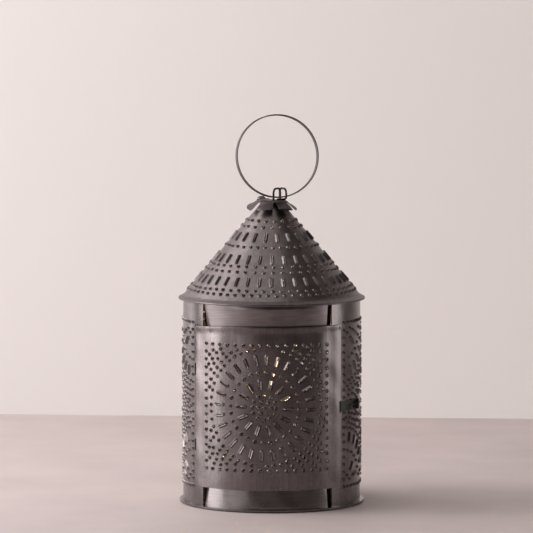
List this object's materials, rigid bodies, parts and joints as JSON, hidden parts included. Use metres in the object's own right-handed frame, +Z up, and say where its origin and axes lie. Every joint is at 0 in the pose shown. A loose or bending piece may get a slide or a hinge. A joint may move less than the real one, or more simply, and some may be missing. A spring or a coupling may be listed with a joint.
{
  "type": "candle lantern",
  "caption": "Round tin candle lantern with pierced-pattern cone roof, curved hinged door, hasp latch and ring handle.",
  "frame": {"origin": "centre of the base on the table", "axes": "+Z up the lantern's axis, the door faces -Y, +X is the latch side"},
  "size_m": [0.1834, 0.1834, 0.3815],
  "materials": {
    "tin": "satin",
    "strap_tin": "satin",
    "black_wire": "satin",
    "wax": "satin",
    "wick": "matte"
  },
  "bodies": {
    "shell": {"base_plate": "tin", "body_wall": "tin", "header_strip": "tin", "sill_strip": "tin", "roof_cone": "tin", "petal_cap": "tin", "hanger_eye": "black_wire", "hinge_loop_upper": "strap_tin", "hinge_loop_lower": "strap_tin", "staple": "black_wire", "drip_pan": "tin", "candle_socket": "tin"},
    "door": {"door_panel": "tin", "hinge_wire": "black_wire", "hasp_wire": "black_wire"},
    "hasp": {"hasp": "strap_tin"},
    "latch_pin": {"latch_pin": "black_wire"},
    "ring": {"ring_strap": "tin"},
    "candle": {"candle": "wax", "wick": "wick"}
  },
  "joints": [
    {"name": "door_swing", "type": "hinge", "parent": "shell", "child": "door", "pos_m": [-0.07059, -0.05338, 0.10075], "axis": [0, 0, -1], "range_deg": [0, 115]},
    {"name": "hasp_swing", "type": "hinge", "parent": "door", "child": "hasp", "pos_m": [0.07059, -0.05338, 0.1], "axis": [0, 0, -1], "range_deg": [0, 150]},
    {"name": "latch_pin_pull", "type": "slide", "parent": "shell", "child": "latch_pin", "axis": [-0.3502, -0.9367, 0], "range_m": [0, 0.012]},
    {"name": "ring_tilt", "type": "hinge", "parent": "shell", "child": "ring", "pos_m": [0.00594, 0.00292, 0.3033], "axis": [0.9659, 0.2588, 0], "range_deg": [-34, 60]},
    {"name": "candle_lift", "type": "slide", "parent": "shell", "child": "candle", "axis": [0, 0, 1], "range_m": [0, 0.03]}
  ]
}
